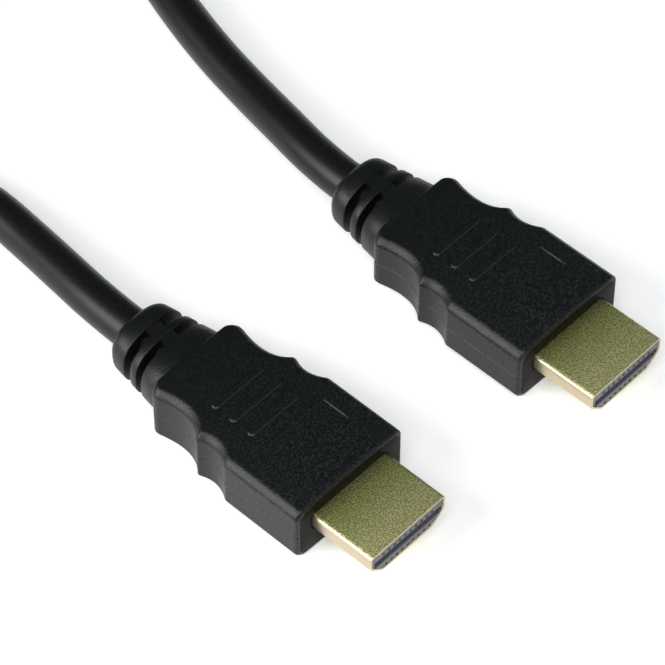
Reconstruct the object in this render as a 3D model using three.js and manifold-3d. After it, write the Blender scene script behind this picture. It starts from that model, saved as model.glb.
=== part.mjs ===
// An audio and video lead: two moulded plugs with gold shells, joined by a round black cord.
// Millimetres, +Z up. The plugs lie side by side on the floor, with their mouths towards -Y.
// The origin is on the floor, under the middle of the two plugs.

import * as THREE from "three";
import { mergeVertices } from "three/addons/utils/BufferGeometryUtils.js";
import Module from "manifold-3d";

const wasm = await Module();
wasm.setup();

// Moulded body of a plug
const bodyWidth = 19.5;
const bodyLength = 28.2;
const bodyHeight = 9.9;
const bodyCrown = 0.4;
const bodyEdge = 0.8;
const backWidth = 16;
const backCorner = 1.4;

// Finger grips in the sides of the body: a short scallop, a step and a long scallop
const gripStart = 12.8;
const gripStep = 18.3;
const stepInset = 0.5;
const shortScallop = 1.1;
const longScallop = 3.5;
const longScallopTurn = 2.5;

// Strain relief behind the body
const reliefLength = 10.6;
const reliefRootHeight = 9.2;
const reliefRootWidth = 13.4;
const reliefEndHeight = 8.6;
const reliefEndWidth = 10;
const reliefEndRound = 1.4;
const reliefCoreHeight = 7;
const reliefCoreWidth = 7.6;
const reliefRib = 2.3;
const frontSlot = 0.8;
const frontSlotFromBody = 3.6;
const rearSlot = 1;
const rearSlotFromBody = 6;

// Metal shell
const shellWidth = 13.9;
const shellHeight = 4.45;
const shellWall = 0.35;
const shellReach = 10;
const shellSeat = 1.5;
const shellTopRound = 0.7;
const shellLowRound = 0.5;
const chamferWidth = 2.2;
const chamferHeight = 2;

// Plastic block in the shell, with the slot for the socket's tongue
const blockRecess = 0.05;
const blockSeat = 1.1;
const slotWidth = 12.4;
const slotHeight = 1.2;
const slotDepth = 6.5;
const slotRise = 0.07;

// Contacts, in two staggered rows
const contactPitch = 1;
const upperContacts = 10;
const lowerContacts = 9;
const contactWidth = 0.42;
const contactThickness = 0.2;
const contactBow = 0.45;
const contactLength = 5.6;
const contactTip = 0.7;
const cavityWidth = 0.6;
const cavityHeight = 0.7;
const lip = 0.5;
const windowWidth = 0.4;
const windowHeight = 0.45;
const windowRise = 0.2;
const notchWidth = 0.45;
const notchHeight = 0.6;
const notchDepth = 0.9;

// Where the plugs lie
const plugSpacing = 38.4;
const plugStagger = 3.4;

// Cord
const cordDiameter = 6;
const coilRadius = 32;
const coilStrands = 4;
const coilCentre = [6, 134];
const leftLead = [
  [-19.2, 26.4, 4.95], [-19, 33, 4.9], [-18, 41, 4.3], [-16.9, 49, 3.5], [-16.2, 57, 3.05],
  [-16.9, 64, 3], [-19.2, 71, 3], [-22.4, 78, 3], [-26.2, 85, 3], [-30, 92, 3],
  [-32.8, 98.6, 3.15], [-34.5, 105.3, 3.5], [-34.9, 110.5, 3.8],
];
const rightLead = [
  [19.2, 23, 4.95], [19.6, 29.6, 4.9], [21.3, 37.5, 4.3], [23.2, 45.5, 3.4], [25, 53.5, 3.05],
  [27, 61, 3], [29.4, 68.5, 3], [32.2, 76, 3], [35.5, 83.5, 3.1], [38.7, 91, 3.9],
  [41.5, 97.8, 5.5], [43.3, 103.5, 7.2], [43.95, 107.95, 8.4],
];

// Ties round the coil
const tieWidth = 4;
const tieThickness = 0.6;

// Gaps between pieces that touch
const seatGap = 0.08;
const touchGap = 0.3;

// Fineness of round stretches
const reliefSides = 32;
const coilSides = 48;
const cordSides = 10;
const arcSteps = 4;

const plugMiddle = bodyHeight / 2;
const reliefEnd = bodyLength + reliefLength;
const cordRadius = cordDiameter / 2;

const materials = {
  moulding: new THREE.MeshStandardMaterial({ color: 0x17181a, roughness: 0.62, metalness: 0 }),
  shell: new THREE.MeshStandardMaterial({ color: 0xb9a468, roughness: 0.34, metalness: 1 }),
  block: new THREE.MeshStandardMaterial({ color: 0x3a3d45, roughness: 0.5, metalness: 0 }),
  contact: new THREE.MeshStandardMaterial({ color: 0xc9a24a, roughness: 0.3, metalness: 1 }),
  cord: new THREE.MeshStandardMaterial({ color: 0x1b1c1e, roughness: 0.5, metalness: 0 }),
  tie: new THREE.MeshStandardMaterial({ color: 0x222224, roughness: 0.8, metalness: 0 }),
};

// Solids for the boolean cuts and joins

function solidOf(geometry) {
  const bare = geometry.clone();
  bare.deleteAttribute("normal");
  bare.deleteAttribute("uv");
  const merged = mergeVertices(bare, 1e-4);
  return new wasm.Manifold(new wasm.Mesh({
    numProp: 3,
    vertProperties: Float32Array.from(merged.attributes.position.array),
    triVerts: Uint32Array.from(merged.index.array),
  }));
}

function geometryOf(solid) {
  const mesh = solid.getMesh();
  const geometry = new THREE.BufferGeometry();
  geometry.setAttribute("position", new THREE.BufferAttribute(Float32Array.from(mesh.vertProperties), 3));
  geometry.setIndex(new THREE.BufferAttribute(Uint32Array.from(mesh.triVerts), 1));
  geometry.computeVertexNormals();
  return geometry;
}

// A block between two corners
function box(low, high) {
  const size = high.map((value, i) => value - low[i]);
  const geometry = new THREE.BoxGeometry(...size);
  return geometry.translate(...low.map((value, i) => value + size[i] / 2));
}

// A section drawn in x and z, drawn out along y
function prism(shape, from, to) {
  const geometry = new THREE.ExtrudeGeometry(shape, {
    depth: to - from,
    bevelEnabled: false,
    curveSegments: arcSteps,
  });
  return geometry.rotateX(Math.PI / 2).translate(0, to, 0);
}

// A closed outline through corners given as x, height and rounding
function roundedShape(corners) {
  const shape = new THREE.Shape();
  corners.forEach(([x, z, rounding], i) => {
    const corner = new THREE.Vector2(x, z);
    const before = new THREE.Vector2(...corners.at(i - 1).slice(0, 2));
    const after = new THREE.Vector2(...corners[(i + 1) % corners.length].slice(0, 2));
    const start = before.sub(corner).setLength(rounding).add(corner);
    const end = after.sub(corner).setLength(rounding).add(corner);
    if (i === 0) {
      shape.moveTo(start.x, start.y);
    } else {
      shape.lineTo(start.x, start.y);
    }
    shape.quadraticCurveTo(x, z, end.x, end.y);
  });
  shape.closePath();
  return shape;
}

// The shell's outline, drawn in from its outside by a wall or a clearance
function shellOutline(inset) {
  const side = shellWidth / 2 - inset;
  const top = plugMiddle + shellHeight / 2 - inset;
  const low = plugMiddle - shellHeight / 2 + inset;
  const slope = Math.hypot(chamferWidth, chamferHeight);
  const across = chamferWidth - inset * (chamferHeight + chamferWidth - slope) / chamferHeight;
  const up = chamferHeight - inset * (chamferHeight + chamferWidth - slope) / chamferWidth;
  const topRound = Math.max(shellTopRound - inset, 0.1);
  return roundedShape([
    [-side, top, topRound],
    [-side, low + up, shellLowRound],
    [-side + across, low, shellLowRound],
    [side - across, low, shellLowRound],
    [side, low + up, shellLowRound],
    [side, top, topRound],
  ]);
}

// Moulded body

// The body seen from above, with the grips in both sides
function bodyPlan() {
  const half = bodyWidth / 2;
  const backHalf = backWidth / 2;
  const right = (shape) => {
    shape.lineTo(half, 0);
    shape.lineTo(half, gripStart);
    shape.quadraticCurveTo(
      half - 2 * shortScallop + stepInset / 2, (gripStart + gripStep) / 2, half - stepInset, gripStep,
    );
    shape.quadraticCurveTo(
      half - longScallop, gripStep + longScallopTurn, backHalf, bodyLength - backCorner,
    );
    shape.quadraticCurveTo(backHalf, bodyLength, backHalf - backCorner, bodyLength);
  };
  const left = (shape) => {
    shape.lineTo(backCorner - backHalf, bodyLength);
    shape.quadraticCurveTo(-backHalf, bodyLength, -backHalf, bodyLength - backCorner);
    shape.quadraticCurveTo(
      longScallop - half, gripStep + longScallopTurn, stepInset - half, gripStep,
    );
    shape.quadraticCurveTo(
      2 * shortScallop - stepInset / 2 - half, (gripStart + gripStep) / 2, -half, gripStart,
    );
    shape.lineTo(-half, 0);
  };
  const shape = new THREE.Shape();
  shape.moveTo(0, 0);
  right(shape);
  left(shape);
  shape.closePath();
  return shape;
}

// The body seen from the front, with a slight crown on its top and underside
function bodySection() {
  const half = bodyWidth / 2;
  const side = plugMiddle - bodyCrown;
  const flat = half - bodyEdge;
  const rise = bodyCrown * (1 - (flat / half) ** 2);
  const shape = new THREE.Shape();
  shape.moveTo(-half, plugMiddle - side + bodyEdge);
  shape.lineTo(-half, plugMiddle + side - bodyEdge);
  shape.quadraticCurveTo(-half, plugMiddle + side, -flat, plugMiddle + side + rise);
  shape.quadraticCurveTo(0, bodyHeight + bodyCrown - rise, flat, plugMiddle + side + rise);
  shape.quadraticCurveTo(half, plugMiddle + side, half, plugMiddle + side - bodyEdge);
  shape.lineTo(half, plugMiddle - side + bodyEdge);
  shape.quadraticCurveTo(half, plugMiddle - side, flat, plugMiddle - side - rise);
  shape.quadraticCurveTo(0, rise - bodyCrown, -flat, plugMiddle - side - rise);
  shape.quadraticCurveTo(-half, plugMiddle - side, -half, plugMiddle - side + bodyEdge);
  return shape;
}

function body() {
  const plan = new THREE.ExtrudeGeometry(bodyPlan(), {
    depth: bodyHeight,
    bevelEnabled: false,
    curveSegments: 2 * arcSteps,
  });
  return solidOf(plan).intersect(solidOf(prism(bodySection(), 0, bodyLength)));
}

// An oval drawn out along y, its width changing evenly from one end to the other
function oval(profile, widthAt) {
  const geometry = new THREE.LatheGeometry(profile, reliefSides);
  const points = geometry.attributes.position;
  for (let i = 0; i < points.count; i += 1) {
    points.setX(i, points.getX(i) * widthAt(points.getY(i)));
    points.setZ(i, points.getZ(i) + plugMiddle);
  }
  return solidOf(geometry);
}

function relief() {
  const root = bodyLength - backCorner;
  const rootRadius = reliefRootHeight / 2;
  const endRadius = reliefEndHeight / 2;
  const profile = new THREE.Path();
  profile.moveTo(0, root);
  profile.lineTo(rootRadius, root);
  profile.lineTo(endRadius, reliefEnd - reliefEndRound);
  profile.quadraticCurveTo(endRadius, reliefEnd, endRadius - reliefEndRound, reliefEnd);
  profile.lineTo(0, reliefEnd);
  const rootRatio = reliefRootWidth / reliefRootHeight;
  const endRatio = reliefEndWidth / reliefEndHeight;
  const widthAt = (y) => THREE.MathUtils.mapLinear(y, root, reliefEnd, rootRatio, endRatio);
  return oval(profile.getPoints(arcSteps), widthAt);
}

// Two slots on each side of the relief, cut down to its core and stopped by the ribs
function reliefSlots() {
  const coreRadius = reliefCoreHeight / 2;
  const core = oval(
    [[0, bodyLength], [coreRadius, bodyLength], [coreRadius, reliefEnd], [0, reliefEnd]]
      .map(([radius, y]) => new THREE.Vector2(radius, y)),
    () => reliefCoreWidth / reliefCoreHeight,
  );
  const ribs = solidOf(box(
    [-reliefRib / 2, bodyLength, 0],
    [reliefRib / 2, reliefEnd, bodyHeight],
  ));
  const slots = [[frontSlotFromBody, frontSlot], [rearSlotFromBody, rearSlot]].map(([from, width]) => (
    solidOf(box(
      [-bodyWidth / 2, bodyLength + from, -1],
      [bodyWidth / 2, bodyLength + from + width, bodyHeight + 1],
    ))
  ));
  return slots[0].add(slots[1]).subtract(core).subtract(ribs);
}

function moulding() {
  const socket = solidOf(prism(shellOutline(-seatGap), -1, shellSeat + seatGap));
  const whole = body().add(relief());
  return geometryOf(whole.subtract(reliefSlots()).subtract(socket));
}

// Shell

function shell() {
  const outline = shellOutline(0);
  outline.holes.push(new THREE.Path(shellOutline(shellWall).getPoints(arcSteps)));
  return prism(outline, -shellReach, shellSeat);
}

// Block and its contacts

const blockFront = blockRecess - shellReach;
const slotMiddle = plugMiddle + slotRise;
const slotTop = slotMiddle + slotHeight / 2;
const slotLow = slotMiddle - slotHeight / 2;
const cavityBack = blockFront + slotDepth;
const rowX = (count, i) => (i - (count - 1) / 2) * contactPitch;

function block() {
  let solid = solidOf(prism(shellOutline(shellWall + seatGap), blockFront, blockSeat));
  solid = solid.subtract(solidOf(box(
    [-slotWidth / 2, blockFront - 1, slotLow],
    [slotWidth / 2, cavityBack, slotTop],
  )));
  for (let i = 0; i < upperContacts; i += 1) {
    const x = rowX(upperContacts, i);
    const cavity = box(
      [x - cavityWidth / 2, blockFront + lip, slotMiddle],
      [x + cavityWidth / 2, cavityBack, slotTop + cavityHeight],
    );
    const window = box(
      [x - windowWidth / 2, blockFront - 1, slotTop + windowRise],
      [x + windowWidth / 2, blockFront + 2 * lip, slotTop + windowRise + windowHeight],
    );
    solid = solid.subtract(solidOf(cavity)).subtract(solidOf(window));
  }
  const blockLow = plugMiddle - shellHeight / 2 + shellWall + seatGap;
  for (let i = 0; i < lowerContacts; i += 1) {
    const x = rowX(lowerContacts, i);
    const cavity = box(
      [x - cavityWidth / 2, blockFront + notchDepth + lip, slotLow - cavityHeight],
      [x + cavityWidth / 2, cavityBack, slotMiddle],
    );
    const notch = box(
      [x - notchWidth / 2, blockFront - 1, blockLow - 1],
      [x + notchWidth / 2, blockFront + notchDepth, blockLow + notchHeight],
    );
    solid = solid.subtract(solidOf(cavity)).subtract(solidOf(notch));
  }
  return geometryOf(solid);
}

// A bowed contact spring; side is 1 for the upper row and -1 for the lower row
function contact(side) {
  const back = cavityBack - seatGap;
  const front = back - contactLength + (side < 0 ? notchDepth : 0);
  const outer = slotHeight / 2 + cavityHeight - seatGap;
  const inner = outer - contactThickness;
  const bow = slotHeight / 2 + cavityHeight - contactBow - contactThickness - 2 * seatGap;
  const line = [
    [back, outer], [back - 1, outer], [front + 2 * contactTip, bow - contactThickness / 2],
    [front + contactTip, bow - contactThickness / 2], [front, bow + contactThickness],
    [front, bow], [front + contactTip, bow - 1.5 * contactThickness],
    [front + 2 * contactTip, bow - 1.5 * contactThickness], [back - 1, inner], [back, inner],
  ];
  const shape = new THREE.Shape(line.map(([y, z]) => new THREE.Vector2(y, slotMiddle + side * z)));
  const geometry = new THREE.ExtrudeGeometry(shape, { depth: contactWidth, bevelEnabled: false });
  const turn = new THREE.Matrix4().set(
    0, 0, 1, -contactWidth / 2,
    1, 0, 0, 0,
    0, 1, 0, 0,
    0, 0, 0, 1,
  );
  return geometry.applyMatrix4(turn);
}

// Cord

function lead(points) {
  const section = new THREE.Shape();
  section.absarc(0, 0, cordRadius, 0, 2 * Math.PI);
  return new THREE.ExtrudeGeometry(section, {
    steps: points.length - 1,
    curveSegments: cordSides / 2,
    extrudePath: new THREE.CatmullRomCurve3(points.map((point) => new THREE.Vector3(...point))),
    bevelEnabled: false,
  });
}

// The bundle's outline, two layers of strands, drawn out by a distance
const coilFloor = tieThickness + touchGap;
const lowLayer = coilFloor + cordRadius;
const highLayer = lowLayer + cordDiameter * Math.sin(Math.PI / 3);

function bundle(out) {
  const radius = cordRadius + out;
  const lowHalf = (coilStrands - 1) * cordRadius;
  const highHalf = (coilStrands - 2) * cordRadius;
  const shape = new THREE.Shape();
  shape.moveTo(-lowHalf, lowLayer - radius);
  shape.lineTo(lowHalf, lowLayer - radius);
  shape.absarc(lowHalf, lowLayer, radius, -Math.PI / 2, Math.PI / 6);
  shape.absarc(highHalf, highLayer, radius, Math.PI / 6, Math.PI / 2);
  shape.lineTo(-highHalf, highLayer + radius);
  shape.absarc(-highHalf, highLayer, radius, Math.PI / 2, 5 * Math.PI / 6);
  shape.absarc(-lowHalf, lowLayer, radius, 5 * Math.PI / 6, 3 * Math.PI / 2);
  return shape;
}

function coil() {
  const outline = bundle(0).getPoints(arcSteps / 2);
  const profile = outline.filter((point, i) => i === 0 || point.distanceTo(outline[i - 1]) > 1e-3);
  if (profile.at(-1).distanceTo(profile[0]) > 1e-3) {
    profile.push(profile[0].clone());
  }
  const places = profile.map(({ x, y }) => new THREE.Vector2(x + coilRadius, y));
  return new THREE.LatheGeometry(places, coilSides).rotateX(Math.PI / 2);
}

function tie() {
  const outline = bundle(touchGap + tieThickness);
  outline.holes.push(new THREE.Path(bundle(touchGap).getPoints(arcSteps / 2)));
  const geometry = new THREE.ExtrudeGeometry(outline, {
    depth: tieWidth,
    bevelEnabled: false,
    curveSegments: arcSteps / 2,
  });
  return geometry.rotateX(Math.PI / 2).translate(0, tieWidth / 2, 0);
}

// The whole lead

const cable = new THREE.Group();

function add(parent, name, geometry, material) {
  const mesh = new THREE.Mesh(geometry, material);
  mesh.name = name;
  parent.add(mesh);
  return mesh;
}

function plug(name, x, y) {
  const group = new THREE.Group();
  group.position.set(x, y, 0);
  add(group, `${name}_moulding`, moulding(), materials.moulding);
  add(group, `${name}_shell`, shell(), materials.shell);
  add(group, `${name}_block`, block(), materials.block);
  for (const [row, count, side] of [["upper", upperContacts, 1], ["lower", lowerContacts, -1]]) {
    for (let i = 0; i < count; i += 1) {
      const mesh = add(group, `${name}_${row}_contact_${i + 1}`, contact(side), materials.contact);
      mesh.position.x = rowX(count, i);
    }
  }
  cable.add(group);
}

const leftPlugY = (shellReach + plugStagger - reliefEnd) / 2;
plug("left", -plugSpacing / 2, leftPlugY);
plug("right", plugSpacing / 2, leftPlugY - plugStagger);
add(cable, "left_lead", lead(leftLead), materials.cord);
add(cable, "right_lead", lead(rightLead), materials.cord);
add(cable, "coil", coil(), materials.cord).position.set(...coilCentre, 0);
for (const [name, side] of [["near_tie", -1], ["far_tie", 1]]) {
  const mesh = add(cable, name, tie(), materials.tie);
  mesh.rotation.z = Math.PI / 2;
  mesh.position.set(coilCentre[0], coilCentre[1] + side * coilRadius, 0);
}

export default cable;
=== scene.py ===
# %% [markdown]
# # A video cable with a moulded plug on each end
# Two black plugs with gold shells lie side by side on a pale table, and one black cord joins
# them. The model that was drawn in CAD is loaded first, as a fixed frame in metres. Each step
# then puts a finished piece where its plain solid lies, or gives the solid a better finish.

# %% Load the frame
import math

import bmesh
import bpy
from mathutils import Matrix, Vector


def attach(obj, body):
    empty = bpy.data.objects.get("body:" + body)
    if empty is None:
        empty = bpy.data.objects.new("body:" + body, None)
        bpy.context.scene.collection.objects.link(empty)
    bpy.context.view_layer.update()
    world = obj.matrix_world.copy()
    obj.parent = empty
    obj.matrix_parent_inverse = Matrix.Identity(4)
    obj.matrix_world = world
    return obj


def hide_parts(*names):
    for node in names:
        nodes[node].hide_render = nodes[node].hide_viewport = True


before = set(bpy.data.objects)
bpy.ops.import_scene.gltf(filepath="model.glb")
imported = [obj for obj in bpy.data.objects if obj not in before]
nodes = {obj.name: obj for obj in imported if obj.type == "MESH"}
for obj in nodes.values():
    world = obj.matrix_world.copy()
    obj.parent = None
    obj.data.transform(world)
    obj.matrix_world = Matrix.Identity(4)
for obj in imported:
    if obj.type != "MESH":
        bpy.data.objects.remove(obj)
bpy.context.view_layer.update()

# %% [markdown]
# ## Sizes
# The sizes are the CAD model's own, in millimetres, and only the finished meshes are turned into
# metres. A plug is drawn once, with its front face at y 0 and its mouth towards -Y, and then
# copied to the two places where the plugs lie.

# %% Sizes in millimetres
MM = 0.001
PLUGS = {"left": (-19.2, -12.7), "right": (19.2, -16.1)}
PLUG_MIDDLE = 4.95

BODY_HALF = 9.75
BODY_LENGTH = 28.2
BODY_SIDE = 4.55
BODY_CROWN = 0.4
BODY_EDGE = 1.05
GRIP_START = 12.8
GRIP_STEP = 18.3
BACK_HALF = 8
BACK_CORNER = 1.4

RELIEF_END = 38.8
CORD_RADIUS = 3

# %% [markdown]
# ## The camera
# The picture was taken from the plugs' front left corner, from well above, with a long lens. The
# camera looks at a point on the table between the plugs. A turn, a tilt and a distance place it.

# %% Place the camera
LOOK_AT = Vector((1.47, 9.81, 0)) * MM
TURN = math.radians(46.78)
TILT = math.radians(50.95)
DISTANCE = 0.468
FOCAL_PIXELS = 3500
IMAGE_PIXELS = 665
SENSOR = 36

forward = Vector((
    math.sin(TURN) * math.cos(TILT),
    math.cos(TURN) * math.cos(TILT),
    -math.sin(TILT),
))
camera = bpy.data.objects.new("camera", bpy.data.cameras.new("camera"))
bpy.context.scene.collection.objects.link(camera)
camera.data.sensor_width = SENSOR
camera.data.lens = SENSOR * FOCAL_PIXELS / IMAGE_PIXELS
camera.data.clip_start = 0.01
camera.location = LOOK_AT - DISTANCE * forward
camera.rotation_mode = "QUATERNION"
camera.rotation_quaternion = forward.to_track_quat("-Z", "Y")
bpy.context.scene.camera = camera
print("lens:", round(camera.data.lens, 1), "mm")

# %% [markdown]
# ## Two helpers for meshes
# Most pieces are lofts: rings of points that follow each other along the piece, joined by faces
# of four sides. The rings are written in millimetres, so the helper that makes the object scales
# them down.

# %% Helpers for meshes
SAME_POINT = 1e-4


def loft(mesh, rings):
    """Joins rings of points by faces, and gives back the mesh's own rings."""
    made = [[mesh.verts.new(point) for point in ring] for ring in rings]
    for ring, after in zip(made, made[1:]):
        count = len(ring)
        for i in range(count):
            j = (i + 1) % count
            mesh.faces.new((ring[i], ring[j], after[j], after[i]))
    return made


def finish_object(mesh, name, place=(0, 0), smooth_below=35):
    """Turns a mesh in millimetres into a smooth-shaded object, moved to its place."""
    bmesh.ops.remove_doubles(mesh, verts=mesh.verts, dist=SAME_POINT)
    bmesh.ops.recalc_face_normals(mesh, faces=mesh.faces)
    bmesh.ops.translate(mesh, verts=mesh.verts, vec=(*place, 0))
    bmesh.ops.scale(mesh, verts=mesh.verts, vec=(MM, MM, MM))
    data = bpy.data.meshes.new(name)
    mesh.to_mesh(data)
    data.polygons.foreach_set("use_smooth", [True] * len(data.polygons))
    data.set_sharp_from_angle(angle=math.radians(smooth_below))
    made = bpy.data.objects.new(name, data)
    bpy.context.scene.collection.objects.link(made)
    return made


# %% [markdown]
# ## The cord's route
# The cord is one piece from plug to plug. It leaves the left plug level, sinks to the table and
# runs in a long bend to a coil, where the rest of its metre and a half is wound up for the shelf,
# and from there it comes back to the right plug. In the coil four strands lie side by side with
# three more in the valleys on top. In the far half of the coil every strand keeps its place. In
# the near half the low strands step in by one place, the innermost climbs to the upper layer, and
# the upper ones step out, so that no two turns cut through each other.

# %% Work out the route
LEFT_LEAD = [
    (-19.2, 25.3, 4.95), (-19.16, 29.5, 4.95), (-18.8, 35, 4.8), (-18, 41, 4.3), (-16.9, 49, 3.5),
    (-16.2, 57, 3.05), (-16.9, 64, 3), (-19.2, 71, 3), (-22.4, 78, 3), (-26.2, 85, 3), (-30, 92, 3),
    (-32.8, 98.6, 3.15), (-34.5, 105.3, 3.5), (-34.9, 110.5, 3.8), (-35, 118, 3.9), (-35, 126, 3.9),
]
RIGHT_LEAD = [
    (19.2, 21.9, 4.95), (19.3, 26, 4.95), (20, 31.5, 4.75), (21.3, 37.5, 4.3), (23.2, 45.5, 3.4),
    (25, 53.5, 3.05), (27, 61, 3), (29.4, 68.5, 3), (32.2, 76, 3), (35.5, 83.5, 3.1),
    (38.7, 91, 3.9), (41.5, 97.8, 5.5), (43.3, 103.5, 7.2), (43.95, 107.95, 8.4), (44, 113, 9.5),
    (44, 118.5, 9.98), (44, 126, 9.6),
]
COIL_CENTRE = (6, 134)
COIL_RADIUS = 32
STRAND = 2 * CORD_RADIUS
LOW_LAYER = 3.9
LAYER_RISE = STRAND * math.sin(math.pi / 3)
LOW_PLACES = [COIL_RADIUS + STRAND * k for k in (1.5, 0.5, -0.5, -1.5)]
HIGH_PLACES = [COIL_RADIUS + STRAND * k for k in (-1, 0, 1)]
POINTS_PER_HALF = 12
CLIMB_FROM, CLIMB_TURN = 180, 120
CORD_STEPS = 4


def strand_at(half, part):
    """Radius and height of the winding in its numbered half turn, part of the way round it."""
    place, near = divmod(half, 2)
    if not near:
        if place < len(LOW_PLACES):
            return LOW_PLACES[place], LOW_LAYER
        return HIGH_PLACES[place - len(LOW_PLACES)], LOW_LAYER + LAYER_RISE
    step = (1 - math.cos(math.pi * part)) / 2
    if place < len(LOW_PLACES) - 1:
        return LOW_PLACES[place] - STRAND * step, LOW_LAYER
    if place == len(LOW_PLACES) - 1:
        climb = math.radians(CLIMB_FROM - CLIMB_TURN * step)
        inner = LOW_PLACES[-2] - STRAND * step
        return inner + STRAND * math.cos(climb), LOW_LAYER + STRAND * math.sin(climb)
    over = math.sin(2 * math.pi * step) ** 2
    height = LOW_LAYER + LAYER_RISE + (STRAND - LAYER_RISE) * over
    return HIGH_PLACES[place - len(LOW_PLACES)] + STRAND * step, height


def coil_route():
    """The winding's points, clockwise from the left side of the coil to its right side."""
    points = []
    halves = 2 * (len(LOW_PLACES) + len(HIGH_PLACES)) - 1
    for i in range(halves * POINTS_PER_HALF + 1):
        half = min(i // POINTS_PER_HALF, halves - 1)
        part = i / POINTS_PER_HALF - half
        radius, height = strand_at(half, part)
        angle = math.pi * (1 - i / POINTS_PER_HALF)
        points.append((
            COIL_CENTRE[0] + radius * math.cos(angle),
            COIL_CENTRE[1] + radius * math.sin(angle),
            height,
        ))
    return points


def through(points, steps):
    """More points along a smooth line through the given ones."""
    points = [Vector(point) for point in points]
    points = [2 * points[0] - points[1], *points, 2 * points[-1] - points[-2]]
    made = []
    for before, start, end, after in zip(points, points[1:], points[2:], points[3:]):
        for k in range(steps):
            t = k / steps
            made.append(0.5 * (
                2 * start + (end - before) * t + (2 * before - 5 * start + 4 * end - after) * t ** 2
                + (3 * start - before - 3 * end + after) * t ** 3
            ))
    return made + [points[-2]]


knots = LEFT_LEAD + coil_route() + RIGHT_LEAD[::-1]
route = [point * MM for point in through(knots, CORD_STEPS)]
route_length = sum((b - a).length for a, b in zip(route, route[1:]))
print("route:", len(knots), "points,", round(route_length, 3), "m")

# %% [markdown]
# ## Drawing the cord
# The cord is one round section that follows the route, which is what the Curve to Mesh node does.
# The tree takes the route as a curve, and its thickness and its number of sides as named inputs.

# %% A helper for node trees
def new_tree(name, sizes):
    """An empty tree with named inputs, and a shorthand for adding its nodes."""
    tree = bpy.data.node_groups.new(name, "GeometryNodeTree")
    tree.interface.new_socket("Geometry", in_out="INPUT", socket_type="NodeSocketGeometry")
    sockets = {}
    for label, (kind, value) in sizes.items():
        socket = tree.interface.new_socket(label, in_out="INPUT", socket_type=f"NodeSocket{kind}")
        if kind != "Material":
            socket.default_value = value
        sockets[label] = socket.identifier
    tree.interface.new_socket("Geometry", in_out="OUTPUT", socket_type="NodeSocketGeometry")
    tree.nodes.new("NodeGroupInput")
    tree.nodes.new("NodeGroupOutput")
    return tree, sockets


def add_node(tree, kind, links=(), **settings):
    """A node with its inputs linked or set: each pair is an input and a socket or a value."""
    node = tree.nodes.new(kind)
    for name, value in settings.items():
        setattr(node, name, value)
    for target, source in links:
        if isinstance(source, bpy.types.NodeSocket):
            tree.links.new(source, node.inputs[target])
        else:
            node.inputs[target].default_value = source
    return node


def baked(start, tree, sockets, values, name):
    """Runs the tree on an object, keeps the result as a plain mesh object and removes the start."""
    modifier = start.modifiers.new("tree", "NODES")
    modifier.node_group = tree
    for label, value in values.items():
        modifier[sockets[label]] = value
    bpy.context.view_layer.update()
    shown = start.evaluated_get(bpy.context.evaluated_depsgraph_get())
    data = bpy.data.meshes.new_from_object(shown)
    data.name = name
    start.modifiers.remove(modifier)
    bpy.data.objects.remove(start)
    made = bpy.data.objects.new(name, data)
    bpy.context.scene.collection.objects.link(made)
    return made


# %% Draw the cord along the route
CORD_SIDES = 24
CORD_SMOOTH_BELOW = 40

sheath = bpy.data.materials.new("cord_sheath")
tree, sockets = new_tree("round_cord", {
    "Radius": ("Float", 0.001), "Sides": ("Int", 8), "Sheath": ("Material", None),
})
into, out = tree.nodes
section = add_node(tree, "GeometryNodeCurvePrimitiveCircle", [
    ("Radius", into.outputs["Radius"]), ("Resolution", into.outputs["Sides"]),
])
tube = add_node(tree, "GeometryNodeCurveToMesh", [
    ("Curve", into.outputs["Geometry"]), ("Profile Curve", section.outputs["Curve"]),
    ("Fill Caps", True),
])
plain = add_node(tree, "GeometryNodeRealizeInstances", [("Geometry", tube.outputs["Mesh"])])
dressed = add_node(tree, "GeometryNodeSetMaterial", [
    ("Geometry", plain.outputs["Geometry"]), ("Material", into.outputs["Sheath"]),
])
tree.links.new(dressed.outputs["Geometry"], out.inputs["Geometry"])

route_curve = bpy.data.curves.new("route", "CURVE")
route_curve.dimensions = "3D"
line = route_curve.splines.new("POLY")
line.points.add(len(route) - 1)
for point, place in zip(line.points, route):
    point.co = (*place, 1)
route_object = bpy.data.objects.new("route", route_curve)
bpy.context.scene.collection.objects.link(route_object)
cord = baked(route_object, tree, sockets, {
    "Radius": CORD_RADIUS * MM, "Sides": CORD_SIDES, "Sheath": sheath,
}, "cord")
cord.data.polygons.foreach_set("use_smooth", [True] * len(cord.data.polygons))
cord.data.set_sharp_from_angle(angle=math.radians(CORD_SMOOTH_BELOW))
print("cord:", len(cord.data.polygons), "faces")
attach(cord, "root")
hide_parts("left_lead", "right_lead", "coil")

# %% [markdown]
# ## The moulding
# Body and strain relief are one piece of black vinyl, moulded over the shell's root and the
# wires. It is drawn as one loft. Each ring is a section across the plug: a rounded block along
# the body and an oval along the relief. Every ring has the same points in the same order, so the
# loft can pass from one shape to the other at the body's back.

# %% The body's outline from above
STEP_HALF = 9.25
SHORT_BEND, LONG_BEND = 7.8, 6.25
# Along the long scallop, y grows by LONG_FIRST * part + LONG_SECOND * part ** 2.
LONG_FIRST, LONG_SECOND = 5, 3.5


def bent(start, bend, end, part):
    """A point part of the way along a curve that is pulled towards its bend."""
    rest = 1 - part
    return rest * rest * start + 2 * part * rest * bend + part * part * end


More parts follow.
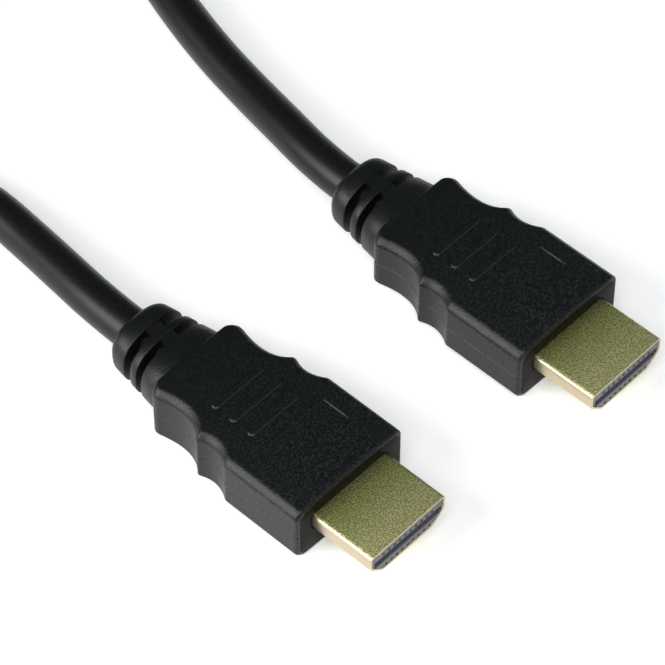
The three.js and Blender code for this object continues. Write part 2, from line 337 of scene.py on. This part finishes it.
def plan_half(y):
    """Half the body's width, with the short scallop, the step and the long scallop."""
    if y <= GRIP_START:
        return BODY_HALF
    if y <= GRIP_STEP:
        part = (y - GRIP_START) / (GRIP_STEP - GRIP_START)
        return bent(BODY_HALF, SHORT_BEND, STEP_HALF, part)
    root = math.sqrt(LONG_FIRST ** 2 + 4 * LONG_SECOND * (y - GRIP_STEP))
    part = (root - LONG_FIRST) / (2 * LONG_SECOND)
    return bent(STEP_HALF, LONG_BEND, BACK_HALF, min(part, 1))


def eased_half(y, ease=0.2, reach=3):
    """The same, with its corners eased as a mould's are, by a mean over places near y."""
    places = [y + ease * k / reach for k in range(-reach, reach + 1)]
    return sum(plan_half(place) for place in places) / len(places)


# %% Sections of the body and the relief
TOP_LINES = [0, 0.4, 0.8, 1.15, 1.2, 1.6, 2.2, 3, 4, 5, 5.95, 6.05, 6.15, 6.25, 6.6, 7.1, 7.5]
PANEL_HALF = 6.1
PANEL_NEAR, PANEL_FAR = 5.8, 10.3
PANEL_DEPTH = 0.1
EDGE_BLEND = 0.15
BEVEL_SHARE = 0.6
PARTING_BORDER, PARTING_HALF, PARTING_DEPTH = 0.2, 0.12, 0.1
RELIEF_FULLNESS = 2.6
SHARED_LINES = 6
CORNER_STEPS = 6
SIDE_STEPS = 6


def crown(x):
    """The height of the top above the plug's middle."""
    return BODY_SIDE + BODY_CROWN * (1 - (x / BODY_HALF) ** 2)


def eased_corner(turn):
    """A point of the long edge: nearly a flat bevel, a little rounded."""
    part = turn / (math.pi / 2)
    return (
        (1 - BEVEL_SHARE) * math.cos(turn) + BEVEL_SHARE * (1 - part),
        (1 - BEVEL_SHARE) * math.sin(turn) + BEVEL_SHARE * part,
    )


def body_section(half, squeeze=0, edge=BODY_EDGE, sunk=0):
    """The right upper quarter of a section, from the top's middle to the side's middle."""
    flat = half - edge
    lines = TOP_LINES[:-2]
    spare = flat - 2 * EDGE_BLEND
    scale = min(1, spare / lines[-1])
    points = []
    for x in lines:
        drop = sunk if x < PANEL_HALF else 0
        points.append((x * scale, crown(x * scale) - squeeze - drop))
    for x in (flat - EDGE_BLEND, flat):
        points.append((x, crown(x) - squeeze))
    centre_z = crown(flat) - squeeze - edge
    for i in range(1, CORNER_STEPS + 1):
        across, up = eased_corner(math.pi / 2 * (1 - i / CORNER_STEPS))
        points.append((flat + edge * across, centre_z + edge * up))
    third = centre_z / 3
    for z in (centre_z - EDGE_BLEND, 2 * third, third, PARTING_BORDER, PARTING_HALF):
        points.append((half, z))
    points.append((half - PARTING_DEPTH, 0))
    return points


def oval_section(half, high):
    """The same points on an oval with full flanks."""
    full = RELIEF_FULLNESS
    shared = TOP_LINES[:SHARED_LINES]
    points = [(x, high * (1 - (x / half) ** full) ** (1 / full)) for x in shared]
    steps = len(TOP_LINES) + CORNER_STEPS + SIDE_STEPS - SHARED_LINES
    start = math.acos((shared[-1] / half) ** (full / 2))
    for i in range(1, steps + 1):
        turn = start * (1 - i / steps)
        across, up = math.cos(turn) ** (2 / full), math.sin(turn) ** (2 / full)
        points.append((half * across, high * up))
    return points


def whole_ring(upper, y, lower=None):
    """A ring from its upper right quarter, and its lower one where that differs."""
    lower = lower or upper
    right = upper + [(x, -z) for x, z in lower[-2::-1]]
    left = [(-x, z) for x, z in right[-2:0:-1]]
    return [(x, y, PLUG_MIDDLE + z) for x, z in right + left]


# %% Rings along the moulding
FRONT_EDGE = 0.5
BACK_EDGE = 0.3
GRIP_MARGIN, GRIP_PITCH = 0.8, 0.2
BACK_MARGIN = 0.3
PANEL_WALL = 0.05
ROOT_HALF, ROOT_HIGH = 6.7, 4.8
END_HALF, END_HIGH = 5, 4.3
CORE_HALF, CORE_HIGH = 3.15, 3.1
NECK_LENGTH = 1.5
RIB_LINES = 4
SLOTS = [(31.6, 32.7), (34, 35.35)]
SLOT_LIP = 0.12
END_ROUND = 1.4
EDGE_STEPS = 4
ROUND_STEPS = 8


def body_rings():
    """Rings from the front face to the body's back, close together where the grips curve."""
    rings = []
    for i in range(EDGE_STEPS + 1):
        turn = math.pi / 2 * i / EDGE_STEPS
        inset = FRONT_EDGE * (1 - math.sin(turn))
        y = FRONT_EDGE * (1 - math.cos(turn))
        rings.append(whole_ring(body_section(BODY_HALF - inset, inset), y))
    y = GRIP_START - GRIP_MARGIN
    stations = [1, 2, 4, PANEL_NEAR - PANEL_WALL, PANEL_NEAR + PANEL_WALL, 7, 8, 9]
    stations += [PANEL_FAR - PANEL_WALL, PANEL_FAR + PANEL_WALL, 11, y]
    while y < BODY_LENGTH - BACK_CORNER - BACK_MARGIN:
        y += GRIP_PITCH
        stations.append(y)
    for y in stations:
        sunk = PANEL_DEPTH if PANEL_NEAR < y < PANEL_FAR else 0
        half = eased_half(y)
        rings.append(whole_ring(body_section(half, sunk=sunk), y, body_section(half)))
    for i in range(1, ROUND_STEPS + 1):
        turn = math.pi / 2 * i / ROUND_STEPS
        y = BODY_LENGTH - BACK_CORNER * (1 - math.sin(turn))
        corner = BACK_CORNER * (1 - math.cos(turn))
        late = max(0, (y - BODY_LENGTH + BACK_EDGE) / BACK_EDGE)
        squeeze = BACK_EDGE * (1 - math.sqrt(max(0, 1 - late * late)))
        rings.append(whole_ring(body_section(BACK_HALF - corner, squeeze), y))
    return rings


def relief_ring(y, inset=0, slotted=False):
    """A ring round the relief, or round its core and ribs where a slot is cut."""
    part = (y - BODY_LENGTH) / (RELIEF_END - BODY_LENGTH)
    half = ROOT_HALF + (END_HALF - ROOT_HALF) * part - inset
    high = ROOT_HIGH + (END_HIGH - ROOT_HIGH) * part - inset
    quarter = oval_section(half, high)
    if slotted:
        core = oval_section(CORE_HALF, CORE_HIGH)
        quarter = quarter[:RIB_LINES] + core[RIB_LINES:]
    return whole_ring(quarter, y)


def relief_rings():
    """Rings along the neck, over the slots' rounded lips and round the far end."""
    rings = [relief_ring(BODY_LENGTH), relief_ring(BODY_LENGTH + NECK_LENGTH)]
    for near, far in SLOTS:
        rings += [
            relief_ring(near - SLOT_LIP), relief_ring(near - SLOT_LIP / 3, SLOT_LIP / 3),
            relief_ring(near, SLOT_LIP), relief_ring(near, SLOT_LIP, True),
            relief_ring(far, SLOT_LIP, True), relief_ring(far, SLOT_LIP),
            relief_ring(far + SLOT_LIP / 3, SLOT_LIP / 3), relief_ring(far + SLOT_LIP),
        ]
    for i in range(ROUND_STEPS + 1):
        turn = math.pi / 2 * i / ROUND_STEPS
        y = RELIEF_END - END_ROUND * (1 - math.sin(turn))
        rings.append(relief_ring(y, END_ROUND * (1 - math.cos(turn))))
    return rings


def round_ring(radius, y, like):
    """A round ring whose points lie in the directions of another ring's points."""
    ring = []
    for x, _, z in like:
        turn = math.atan2(z - PLUG_MIDDLE, x)
        ring.append((radius * math.cos(turn), y, PLUG_MIDDLE + radius * math.sin(turn)))
    return ring


print("body rings:", len(body_rings()), "relief rings:", len(relief_rings()))

# %% The shell's outline
SHELL_HALF = 6.95
SHELL_HALF_HEIGHT = 2.225
SHELL_WALL = 0.35
CHAMFER_WIDTH = 2.2
CHAMFER_HEIGHT = 2
TOP_ROUND, LEAST_ROUND, CHAMFER_ROUND = 0.7, 0.1, 0.5


def rounded_outline(corners, steps=6):
    """A closed outline through corners given as x, z and rounding."""
    points = []
    count = len(corners)
    for i, (x, z, rounding) in enumerate(corners):
        corner = Vector((x, z))
        start = corner + (Vector(corners[i - 1][:2]) - corner).normalized() * rounding
        end = corner + (Vector(corners[(i + 1) % count][:2]) - corner).normalized() * rounding
        for k in range(steps + 1):
            points.append(tuple(bent(start, corner, end, k / steps)))
    return points


def shell_outline(inset):
    """The shell's section, drawn in from its outside by the inset, with even walls."""
    side = SHELL_HALF - inset
    top = PLUG_MIDDLE + SHELL_HALF_HEIGHT - inset
    low = PLUG_MIDDLE - SHELL_HALF_HEIGHT + inset
    slope = math.hypot(CHAMFER_WIDTH, CHAMFER_HEIGHT)
    spare = CHAMFER_HEIGHT + CHAMFER_WIDTH - slope
    across = CHAMFER_WIDTH - inset * spare / CHAMFER_HEIGHT
    up = CHAMFER_HEIGHT - inset * spare / CHAMFER_WIDTH
    top_round = max(TOP_ROUND - inset, LEAST_ROUND)
    left = [
        (-side, top, top_round), (-side, low + up, CHAMFER_ROUND),
        (-side + across, low, CHAMFER_ROUND),
    ]
    return rounded_outline(left + [(-x, z, rounding) for x, z, rounding in left[::-1]])


# %% Build the two mouldings
SOCKET_GAP = 0.2
SOCKET_DEPTH = 1.5
CORD_MOUTH_GAP, CORD_GAP = 0.12, 0.05
CORD_MOUTH_DEPTH = 0.5


def build_moulding(name, place):
    """The loft, with a round mouth for the cord behind and a pocket for the shell in front."""
    mesh = bmesh.new()
    rings = body_rings() + relief_rings()
    rings.append(round_ring(CORD_RADIUS + CORD_MOUTH_GAP, RELIEF_END, rings[-1]))
    rings.append(round_ring(CORD_RADIUS + CORD_GAP, RELIEF_END - CORD_MOUTH_DEPTH, rings[-1]))
    made = loft(mesh, rings)
    mesh.faces.new(made[-1])
    socket = shell_outline(-SOCKET_GAP)
    socket_rings = loft(mesh, [[(x, y, z) for x, z in socket] for y in (0, SOCKET_DEPTH)])
    mesh.faces.new(socket_rings[-1])
    rim = [mesh.edges.get((a, b)) for ring in (made[0], socket_rings[0])
           for a, b in zip(ring, ring[1:] + ring[:1])]
    bmesh.ops.triangle_fill(mesh, edges=rim, use_beauty=True, normal=(0, -1, 0))
    made = finish_object(mesh, name, place)
    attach(made, "root")
    return made


mouldings = {}
for side, place in PLUGS.items():
    mouldings[side] = build_moulding(f"{side}_plug_moulding", place)
    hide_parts(f"{side}_moulding")
    print(side, "moulding:", len(mouldings[side].data.polygons), "faces")

# %% [markdown]
# ## Grip bars
# Three raised bars with round ends cross the body's top, where a finger pulls the plug out. They
# repeat one shape at an even pitch, so a node tree makes one bar, puts it at the points of a line
# and lets all three sink to the crown of the top. A small raised pointer near the front shows the
# way in.

# %% Make the bars
BAR_COUNT = 3
BAR_FIRST = 13.3
BAR_PITCH = 3.2
BAR_LENGTH = 9.4
BAR_WIDTH = 1.3
BAR_RISE = 0.05
BAR_ROOT = 0.2
BAR_EDGE_RISES = 3.0
BAR_TOP_SCALE = (0.96, 0.7)
BAR_ROUND_SHARE = 0.49
BAR_CORNER_POINTS, BAR_POINTS = 8, 96


def maths(tree, operation, first, second):
    """The result of a Math node."""
    node = add_node(tree, "ShaderNodeMath", [(0, first), (1, second)], operation=operation)
    return node.outputs[0]


tree, sockets = new_tree("grip_bars", {
    "Count": ("Int", 3), "Pitch": ("Float", 0.003), "Length": ("Float", 0.01),
    "Width": ("Float", 0.001), "Rise": ("Float", 0.0002), "Sag": ("Float", 1.0),
    "Finish": ("Material", None),
})
into, out = tree.nodes
given = into.outputs
end_radius = maths(tree, "MULTIPLY", given["Width"], BAR_ROUND_SHARE)
frame_line = add_node(tree, "GeometryNodeCurvePrimitiveQuadrilateral", [
    ("Width", given["Length"]), ("Height", given["Width"]),
])
round_line = add_node(tree, "GeometryNodeFilletCurve", [
    ("Curve", frame_line.outputs["Curve"]), ("Radius", end_radius), ("Count", BAR_CORNER_POINTS),
], mode="POLY")
even_line = add_node(tree, "GeometryNodeResampleCurve", [
    ("Curve", round_line.outputs["Curve"]), ("Count", BAR_POINTS),
])
plate = add_node(tree, "GeometryNodeFillCurve", [
    ("Curve", even_line.outputs["Curve"]),
], mode="NGONS")
up = add_node(tree, "ShaderNodeCombineXYZ", [("Z", 1.0)])
wall_rise = maths(tree, "ADD", given["Rise"], BAR_ROOT * MM)
walls = add_node(tree, "GeometryNodeExtrudeMesh", [
    ("Mesh", plate.outputs["Mesh"]), ("Offset", up.outputs[0]),
    ("Offset Scale", wall_rise), ("Individual", False),
])
edge_rise = maths(tree, "MULTIPLY", given["Rise"], BAR_EDGE_RISES)
edge = add_node(tree, "GeometryNodeExtrudeMesh", [
    ("Mesh", walls.outputs["Mesh"]), ("Selection", walls.outputs["Top"]),
    ("Offset", up.outputs[0]), ("Offset Scale", edge_rise), ("Individual", False),
])
narrow = add_node(tree, "ShaderNodeCombineXYZ", [
    ("X", BAR_TOP_SCALE[0]), ("Y", BAR_TOP_SCALE[1]), ("Z", 1.0),
])
place_now = add_node(tree, "GeometryNodeInputPosition")
eased_place = add_node(tree, "ShaderNodeVectorMath", [
    (0, place_now.outputs[0]), (1, narrow.outputs[0]),
], operation="MULTIPLY")
eased = add_node(tree, "GeometryNodeSetPosition", [
    ("Geometry", edge.outputs["Mesh"]), ("Selection", edge.outputs["Top"]),
    ("Position", eased_place.outputs[0]),
])
step = add_node(tree, "ShaderNodeCombineXYZ", [("Y", given["Pitch"])])
spots = add_node(tree, "GeometryNodeMeshLine", [
    ("Count", given["Count"]), ("Offset", step.outputs[0]),
])
copies = add_node(tree, "GeometryNodeInstanceOnPoints", [
    ("Points", spots.outputs["Mesh"]), ("Instance", eased.outputs["Geometry"]),
])
plain = add_node(tree, "GeometryNodeRealizeInstances", [
    ("Geometry", copies.outputs["Instances"]),
])
place_now = add_node(tree, "GeometryNodeInputPosition")
parts = add_node(tree, "ShaderNodeSeparateXYZ", [("Vector", place_now.outputs[0])])
square = maths(tree, "POWER", parts.outputs["X"], 2.0)
sink = maths(tree, "MULTIPLY", square, given["Sag"])
down = add_node(tree, "ShaderNodeCombineXYZ", [("Z", maths(tree, "MULTIPLY", sink, -1.0))])
laid = add_node(tree, "GeometryNodeSetPosition", [
    ("Geometry", plain.outputs["Geometry"]), ("Offset", down.outputs[0]),
])
dressed = add_node(tree, "GeometryNodeSetMaterial", [
    ("Geometry", laid.outputs["Geometry"]), ("Material", given["Finish"]),
])
tree.links.new(dressed.outputs["Geometry"], out.inputs["Geometry"])

vinyl = bpy.data.materials.new("black_vinyl")
top = PLUG_MIDDLE + BODY_SIDE + BODY_CROWN
bars = {}
for side, (x, y) in PLUGS.items():
    seed = bpy.data.objects.new("seed", bpy.data.meshes.new("seed"))
    bpy.context.scene.collection.objects.link(seed)
    bars[side] = baked(seed, tree, sockets, {
        "Count": BAR_COUNT, "Pitch": BAR_PITCH * MM, "Length": BAR_LENGTH * MM,
        "Width": BAR_WIDTH * MM, "Rise": BAR_RISE * MM,
        "Sag": BODY_CROWN / BODY_HALF ** 2 / MM, "Finish": vinyl,
    }, f"{side}_grip_bars")
    bars[side].data.transform(Matrix.Translation(
        Vector((x, y + BAR_FIRST, top - BAR_ROOT)) * MM
    ))
    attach(bars[side], "root")
    print(side, "bars:", len(bars[side].data.polygons), "faces")

# %% Make the pointer
POINTER = [(-0.8, 3.5), (0.8, 3.5), (0, 2.2)]
POINTER_RISE = 0.2
POINTER_EDGE = 0.04
POINTER_TOP_SCALE = 0.93

pointers = {}
for side, place in PLUGS.items():
    mesh = bmesh.new()
    height = top + POINTER_RISE
    centre = Vector((0, sum(y for _, y in POINTER) / 3))
    rings = []
    levels = ((top - BAR_ROOT, 1), (height - POINTER_EDGE, 1), (height, POINTER_TOP_SCALE))
    for z, scale in levels:
        ring = [centre + (Vector(point) - centre) * scale for point in POINTER]
        rings.append([(*point, z) for point in ring])
    made = loft(mesh, rings)
    mesh.faces.new(made[0])
    mesh.faces.new(made[-1])
    pointer = finish_object(mesh, f"{side}_pointer", place)
    pointer.data.materials.append(vinyl)
    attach(pointer, "root")
    pointers[side] = pointer

# %% [markdown]
# ## The shell
# The shell is a thin tube of gold-plated sheet, with two chamfered lower corners so that the plug
# fits one way up only.

# %% Build the two shells
SHELL_REACH = 10
SHELL_BACK = SOCKET_DEPTH - 0.1
RIM_ROUND = 0.1
RIM_STEPS = 4


def build_shell(name, place):
    """A closed sleeve: out along the outside, round the rim and back along the inside."""
    mesh = bmesh.new()
    turns = [math.pi / 2 * i / RIM_STEPS for i in range(RIM_STEPS + 1)]
    line = [(0, SHELL_BACK)]
    for turn in turns:
        inset = RIM_ROUND * (1 - math.cos(turn))
        line.append((inset, -SHELL_REACH + RIM_ROUND * (1 - math.sin(turn))))
    for turn in turns:
        inset = SHELL_WALL - RIM_ROUND * (1 - math.sin(turn))
        line.append((inset, -SHELL_REACH + RIM_ROUND * (1 - math.cos(turn))))
    line.append((SHELL_WALL, SHELL_BACK))
    rings = [[(x, y, z) for x, z in shell_outline(inset)] for inset, y in line]
    made = loft(mesh, rings)
    count = len(made[0])
    for i in range(count):
        j = (i + 1) % count
        mesh.faces.new((made[-1][i], made[-1][j], made[0][j], made[0][i]))
    made = finish_object(mesh, name, place)
    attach(made, "root")
    return made


shells = {}
for side, place in PLUGS.items():
    shells[side] = build_shell(f"{side}_plug_shell", place)
    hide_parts(f"{side}_shell")

# %% [markdown]
# ## Finishes
# Each material is a short chain of nodes. A fine noise in the object's own coordinates tilts the
# surface, like the fine texture of a mould, and lets the colour change from grain to grain. Along
# a plug the colour also holds painted shade: the vinyl is darker towards the cord, and the gold
# is browner where it comes out of the moulding. For that, each point keeps how far along it
# lies.

# %% Helpers for materials
def new_material(name, colour, roughness, metallic=0.0, specular=0.35, ior=1.5):
    """The material of this name, its node tree and its shader."""
    material = bpy.data.materials.get(name) or bpy.data.materials.new(name)
    material.use_nodes = True
    shader = material.node_tree.nodes["Principled BSDF"]
    shader.inputs["Base Color"].default_value = (*colour, 1)
    shader.inputs["Roughness"].default_value = roughness
    shader.inputs["Metallic"].default_value = metallic
    shader.inputs["Specular IOR Level"].default_value = specular
    shader.inputs["IOR"].default_value = ior
    return material, material.node_tree, shader


def grain(tree, shader, scale, strength, distance):
    """Tilts the surface by a fine noise, and gives back the noise."""
    place = tree.nodes.new("ShaderNodeTexCoord")
    noise = tree.nodes.new("ShaderNodeTexNoise")
    noise.inputs["Scale"].default_value = scale
    noise.inputs["Detail"].default_value = 2
    bump = tree.nodes.new("ShaderNodeBump")
    bump.inputs["Strength"].default_value = strength
    bump.inputs["Distance"].default_value = distance
    tree.links.new(place.outputs["Object"], noise.inputs["Vector"])
    tree.links.new(noise.outputs["Fac"], bump.inputs["Height"])
    tree.links.new(bump.outputs["Normal"], shader.inputs["Normal"])
    return noise


def ramp(tree, source, stops):
    """A colour for each value of the source."""
    made = tree.nodes.new("ShaderNodeValToRGB")
    elements = made.color_ramp.elements
    while len(elements) < len(stops):
        elements.new(0.5)
    for element, (place, colour) in zip(elements, stops):
        element.position = place
        element.color = (*colour, 1)
    tree.links.new(source, made.inputs["Fac"])
    return made.outputs["Color"]


def multiplied(tree, first, second):
    """One colour times another."""
    made = tree.nodes.new("ShaderNodeMix")
    made.data_type = "RGBA"
    made.blend_type = "MULTIPLY"
    made.inputs["Factor"].default_value = 1
    tree.links.new(first, made.inputs["A"])
    tree.links.new(second, made.inputs["B"])
    return made.outputs["Result"]


def along_plug(tree):
    """How far along the plug a point lies, which mark_along keeps."""
    made = tree.nodes.new("ShaderNodeAttribute")
    made.attribute_name = "along"
    return made.outputs["Fac"]


# %% Black vinyl
vinyl, tree, shader = new_material("black_vinyl", (0.005, 0.005, 0.0055), roughness=0.45)
noise = grain(tree, shader, scale=3400, strength=0.8, distance=0.06 * MM)
speckle = ramp(tree, noise.outputs["Fac"], [
    (0.47, (0.0002, 0.0004, 0.0004)), (0.66, (0.014, 0.0172, 0.0176)),
])
# The vinyl darkens towards the cord: painted shade along the plug, not a colour of the vinyl.
painted_shade = ramp(tree, along_plug(tree), [(0.0, (1, 1, 1)), (1.0, (0.2, 0.26, 0.26))])
tree.links.new(multiplied(tree, speckle, painted_shade), shader.inputs["Base Color"])

FRONT_IOR = 1.14
front_vinyl, tree, shader = new_material(
    "front_vinyl", (0.006, 0.0055, 0.005), roughness=0.3, ior=FRONT_IOR
)
grain(tree, shader, scale=4000, strength=0.2, distance=0.02 * MM)

sheath, tree, shader = new_material(
    "cord_sheath", (0.002, 0.002, 0.0022), roughness=0.4, specular=0.3
)
noise = grain(tree, shader, scale=3000, strength=0.3, distance=0.03 * MM)
speckle = ramp(tree, noise.outputs["Fac"], [
    (0.4, (0.0005, 0.0005, 0.0005)), (0.7, (0.004, 0.004, 0.0044)),
])
tree.links.new(speckle, shader.inputs["Base Color"])
print("black finishes:", vinyl.name, front_vinyl.name, sheath.name)

# %% Gold, plastic and cloth
gold, tree, shader = new_material(
    "gold_plate", (0.74, 0.68, 0.32), roughness=0.42, metallic=1.0
)
noise = grain(tree, shader, scale=4200, strength=1.0, distance=0.08 * MM)
speckle = ramp(tree, noise.outputs["Fac"], [(0.4, (0.52, 0.5, 0.2)), (0.6, (1, 0.95, 0.55))])
# The gold darkens and browns towards the moulding: painted shade where the shell meets it.
painted_shade = ramp(tree, along_plug(tree), [
    (0.0, (0.46, 0.42, 0.34)), (0.1, (0.6, 0.62, 0.46)),
    (0.35, (0.68, 0.73, 0.5)), (0.8, (1, 0.98, 0.9)),
])
tree.links.new(multiplied(tree, speckle, painted_shade), shader.inputs["Base Color"])

# The shell's sides and rim in a gold of their own: painted light, as top and sides are one plating.
side_gold_painted_light, tree, shader = new_material(
    "side_gold_painted_light", (0.58, 0.49, 0.34), roughness=0.35, metallic=1.0
)
grain(tree, shader, scale=3000, strength=0.3, distance=0.02 * MM)

contact_gold, tree, shader = new_material(
    "contact_gold", (0.6, 0.52, 0.26), roughness=0.35, metallic=1.0
)
grain(tree, shader, scale=6000, strength=0.2, distance=0.01 * MM)

block_plastic, tree, shader = new_material(
    "block_plastic", (0.1, 0.1, 0.115), roughness=0.45, specular=0.5
)
grain(tree, shader, scale=5000, strength=0.3, distance=0.02 * MM)

tie_cloth, tree, shader = new_material("tie_cloth", (0.01, 0.01, 0.011), roughness=0.8)
grain(tree, shader, scale=2500, strength=0.6, distance=0.05 * MM)
print("other finishes:", gold.name, side_gold_painted_light.name, contact_gold.name, block_plastic.name)

# %% [markdown]
# ## Giving each piece its finish
# In the picture a moulding's front face is dark, probably because it mirrors something dim. Here
# it would mirror the white table, so its faces get a slot of their own, with an index of
# refraction lower than any vinyl's, which mirrors less. The shell's sides and rim get a slot too,
# smoother than its sparkling top, and in a gold of its own: painted light on the one plating.
# The solids that are carried over from the CAD model keep their shape and only get a material.

# %% Put the finishes on
FLAT_ENOUGH = 0.99
ON_THE_FACE = 0.05
SIDEWAYS, FORWARDS = 0.4, 0.3
CAD_FINISHES = {"contact": contact_gold, "block": block_plastic, "tie": tie_cloth}


def wear(piece, *materials):
    """Gives a piece these materials, one slot each."""
    piece.data.materials.clear()
    for material in materials:
        piece.data.materials.append(material)


def mark_along(piece, place, start, end):
    """Keeps how far along the plug each point lies, 0 at the start and 1 at the end."""
    layer = piece.data.attributes.new("along", "FLOAT", "POINT")
    for vertex, value in zip(piece.data.vertices, layer.data):
        part = (vertex.co.y / MM - place[1] - start) / (end - start)
        value.value = min(max(part, 0), 1)


wear(cord, sheath)
for side, place in PLUGS.items():
    wear(mouldings[side], vinyl, front_vinyl)
    flat = [face for face in mouldings[side].data.polygons
            if abs(face.normal.y) > FLAT_ENOUGH
            and abs(face.center.y / MM - place[1]) < ON_THE_FACE]
    for face in flat:
        face.material_index = 1
    print(side, "front face:", len(flat), "faces")
    wear(shells[side], gold, side_gold_painted_light)
    # Faces turned sideways or forwards take the second gold, which is painted light.
    for face in shells[side].data.polygons:
        if abs(face.normal.x) > SIDEWAYS or face.normal.y < -FORWARDS:
            face.material_index = 1
    mark_along(shells[side], place, 0, -SHELL_REACH)
    for piece in (mouldings[side], bars[side], pointers[side]):
        mark_along(piece, place, 0, BODY_LENGTH)
finished = 0
for name, node in nodes.items():
    for word, material in CAD_FINISHES.items():
        if word in name:
            wear(node, material)
            finished += 1
print("CAD pieces with a finish:", finished)

# %% [markdown]
# ## The table
# The table is a large, plain, pale sheet. It glows a little, as white paper on a light table
# does, so that it stays white in the picture while the black plugs stay black.

# %% Lay the table
TABLE_HALF = 3
TABLE_WHITE = 0.85
TABLE_GLOW = 0.3

floor_mesh = bmesh.new()
bmesh.ops.create_grid(floor_mesh, x_segments=1, y_segments=1, size=TABLE_HALF)
floor_data = bpy.data.meshes.new("floor")
floor_mesh.to_mesh(floor_data)
floor = bpy.data.objects.new("floor", floor_data)
bpy.context.scene.collection.objects.link(floor)
floor_paint, tree, shader = new_material("floor_paint", (TABLE_WHITE,) * 3, roughness=0.8)
shader.inputs["Emission Color"].default_value = (1, 1, 1, 1)
shader.inputs["Emission Strength"].default_value = TABLE_GLOW
floor.data.materials.append(floor_paint)
print("table:", [round(size, 2) for size in floor.dimensions])

# %% [markdown]
# ## Soft light
# Three large round lights stand around the plugs. One is overhead. One at the left lies where the
# plugs' left bevels mirror it, and draws their light edge. A weak one at the front right does the
# same for the grip bars' front edges. What comes from elsewhere is dim, so that the black stays
# black.

# %% Set the lights
LIGHTS = {
    "overhead": ((-0.5, -0.5, 1.1), 1.0, 12),
    "left_side": ((-0.9, 0.45, 0.52), 0.8, 14),
    "front_right": ((0.5, -0.7, 0.67), 0.5, 0.9),
}
AROUND_COLOUR = (0.88, 1, 1.05)
AROUND_STRENGTH = 0.16


def soft_light(name, place, size, power):
    """A round light of this size in metres and power in watts, turned towards the plugs."""
    light = bpy.data.lights.new(name, "AREA")
    light.shape = "DISK"
    light.size = size
    light.energy = power
    lamp = bpy.data.objects.new(name, light)
    bpy.context.scene.collection.objects.link(lamp)
    lamp.location = place
    lamp.rotation_mode = "QUATERNION"
    lamp.rotation_quaternion = (LOOK_AT - Vector(place)).to_track_quat("-Z", "Y")
    print(name, "light:", power, "W")


for name, (place, size, power) in LIGHTS.items():
    soft_light(name, place, size, power)
world = bpy.data.worlds.new("world")
world.use_nodes = True
background = world.node_tree.nodes["Background"]
background.inputs["Color"].default_value = (*AROUND_COLOUR, 1)
background.inputs["Strength"].default_value = AROUND_STRENGTH
bpy.context.scene.world = world
bpy.context.scene.view_settings.view_transform = "Standard"
